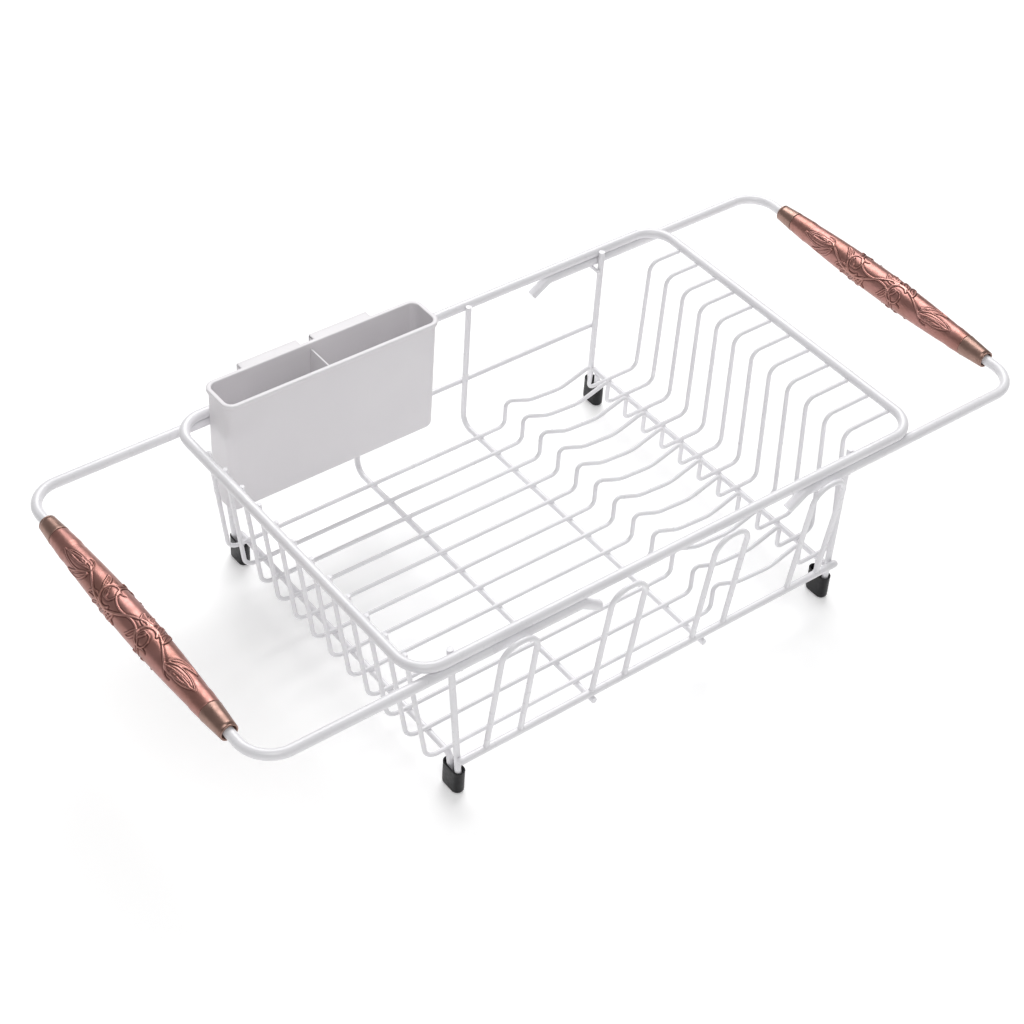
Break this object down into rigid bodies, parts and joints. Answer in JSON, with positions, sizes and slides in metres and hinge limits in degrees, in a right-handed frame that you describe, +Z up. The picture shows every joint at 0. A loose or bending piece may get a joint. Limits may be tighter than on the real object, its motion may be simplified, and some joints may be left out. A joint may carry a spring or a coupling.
{
  "type": "dish drying rack",
  "caption": "Over-sink wire dish rack with plate rows, cup loops, sliding end arms with ornate grips and a hang-on cutlery bin.",
  "frame": {"origin": "on the table plane, under the middle of the rim", "axes": "+X along the rack towards the plate rows, +Y across it towards the cutlery bin, +Z up"},
  "size_m": [0.579, 0.2628, 0.1475],
  "materials": {
    "white_powder_coat": "satin",
    "black_rubber": "matte",
    "antique_copper": "antique copper coating, satin",
    "aged_bronze": "satin",
    "pale_grey_plastic": "satin"
  },
  "bodies": {
    "basket": {"rim": "white_powder_coat", "left_leg_frame": "white_powder_coat", "right_front_leg": "white_powder_coat", "right_back_leg": "white_powder_coat", "floor_bar_2": "white_powder_coat", "floor_bar_3": "white_powder_coat", "floor_bar_4": "white_powder_coat", "front_rail": "white_powder_coat", "back_rail": "white_powder_coat", "row_wire_01": "white_powder_coat", "row_wire_02": "white_powder_coat", "row_wire_03": "white_powder_coat", "row_wire_04": "white_powder_coat", "row_wire_05": "white_powder_coat", "row_wire_06": "white_powder_coat", "row_wire_07": "white_powder_coat", "row_wire_08": "white_powder_coat", "row_wire_09": "white_powder_coat", "row_wire_10": "white_powder_coat", "row_wire_11": "white_powder_coat", "row_wire_12": "white_powder_coat", "cup_loop_1": "white_powder_coat", "cup_loop_2": "white_powder_coat", "cup_loop_3": "white_powder_coat", "cup_loop_4": "white_powder_coat", "foot_cap_front_left": "black_rubber", "foot_cap_front_right": "black_rubber", "foot_cap_back_left": "black_rubber", "foot_cap_back_right": "black_rubber", "arm_guide_front_left": "white_powder_coat", "arm_guide_front_right": "white_powder_coat", "arm_guide_back_left": "white_powder_coat", "arm_guide_back_right": "white_powder_coat"},
    "left_arm": {"left_arm": "white_powder_coat"},
    "right_arm": {"right_arm": "white_powder_coat"},
    "left_grip": {"left_grip": "antique_copper", "left_ferrule_front": "aged_bronze", "left_ferrule_back": "aged_bronze"},
    "right_grip": {"right_grip": "antique_copper", "right_ferrule_front": "aged_bronze", "right_ferrule_back": "aged_bronze"},
    "cutlery_bin": {"cutlery_bin": "pale_grey_plastic", "bin_divider": "pale_grey_plastic"}
  },
  "joints": [
    {"name": "left_arm_slide", "type": "slide", "parent": "basket", "child": "left_arm", "axis": [-1, 0, 0], "range_m": [-0.068, 0.07]},
    {"name": "right_arm_slide", "type": "slide", "parent": "basket", "child": "right_arm", "axis": [1, 0, 0], "range_m": [-0.066, 0.03]},
    {"name": "left_grip_spin", "type": "hinge", "parent": "left_arm", "child": "left_grip", "pos_m": [-0.283, 0, 0.1127], "axis": [0, 1, 0], "continuous": true},
    {"name": "right_grip_spin", "type": "hinge", "parent": "right_arm", "child": "right_grip", "pos_m": [0.276, 0, 0.1127], "axis": [0, 1, 0], "continuous": true},
    {"name": "bin_lift", "type": "slide", "parent": "basket", "child": "cutlery_bin", "axis": [0, 0, 1], "range_m": [0, 0.09]}
  ]
}
